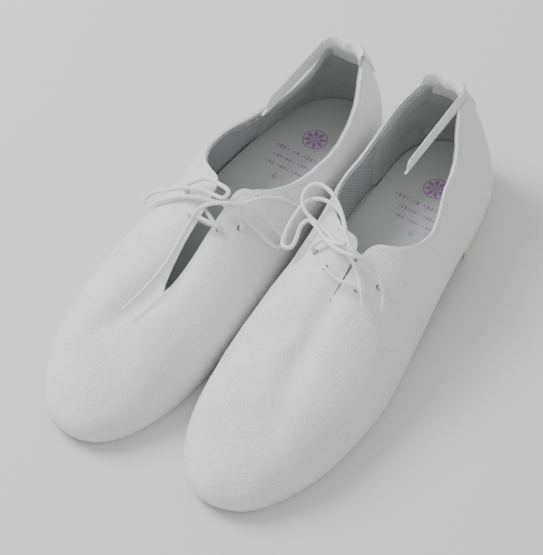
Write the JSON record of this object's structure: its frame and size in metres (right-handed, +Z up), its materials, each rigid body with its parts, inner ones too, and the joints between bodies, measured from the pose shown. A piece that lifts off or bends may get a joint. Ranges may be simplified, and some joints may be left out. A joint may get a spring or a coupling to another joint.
{
  "type": "dance shoe pair",
  "caption": "Pair of soft white leather lace-up dance shoes with one-piece slit uppers, cloth linings, full soles, low heels and tied laces.",
  "frame": {"origin": "on the floor at the middle of the pair's footprint", "axes": "+Y from the toes to the heels, +X towards the wearer's left shoe, +Z up"},
  "size_m": [0.168, 0.2706, 0.082],
  "materials": {
    "upper_leather": "soft grained, satin",
    "facing_leather": "smooth, matt",
    "lining_cloth": "ribbed twill",
    "heel_lining": "brushed, matt",
    "sock": "smooth coated sheet with a printed device",
    "board": "pressed fibre",
    "counter_board": "pressed fibre",
    "filler": "felt",
    "sole": "matt, lightly buffed",
    "heel_rubber": "fine pebbled, matt",
    "lace_braid": "round braid",
    "lace_tip": "clear film over white braid"
  },
  "bodies": {
    "right_shoe": {"right_outsole": "sole", "right_heel_lift": "sole", "right_heel_top_piece": "heel_rubber", "right_bottom_filler": "filler", "right_insole_board": "board", "right_sock": "sock", "right_upper": "upper_leather", "right_vamp_lining": "lining_cloth", "right_quarter_lining_outer": "lining_cloth", "right_quarter_lining_inner": "lining_cloth", "right_eyelet_facing_outer": "facing_leather", "right_eyelet_facing_inner": "facing_leather", "right_heel_counter": "counter_board", "right_heel_grip": "heel_lining", "right_pull_tab": "upper_leather", "right_lace": "lace_braid", "right_lace_tip_first": "lace_tip", "right_lace_tip_last": "lace_tip"},
    "left_shoe": {"left_outsole": "sole", "left_heel_lift": "sole", "left_heel_top_piece": "heel_rubber", "left_bottom_filler": "filler", "left_insole_board": "board", "left_sock": "sock", "left_upper": "upper_leather", "left_vamp_lining": "lining_cloth", "left_quarter_lining_outer": "lining_cloth", "left_quarter_lining_inner": "lining_cloth", "left_eyelet_facing_outer": "facing_leather", "left_eyelet_facing_inner": "facing_leather", "left_heel_counter": "counter_board", "left_heel_grip": "heel_lining", "left_pull_tab": "upper_leather", "left_lace": "lace_braid", "left_lace_tip_first": "lace_tip", "left_lace_tip_last": "lace_tip"}
  },
  "joints": [
    {"name": "left_shoe_lift", "type": "slide", "parent": "right_shoe", "child": "left_shoe", "axis": [0, 0, 1], "range_m": [0, 0.2]}
  ]
}
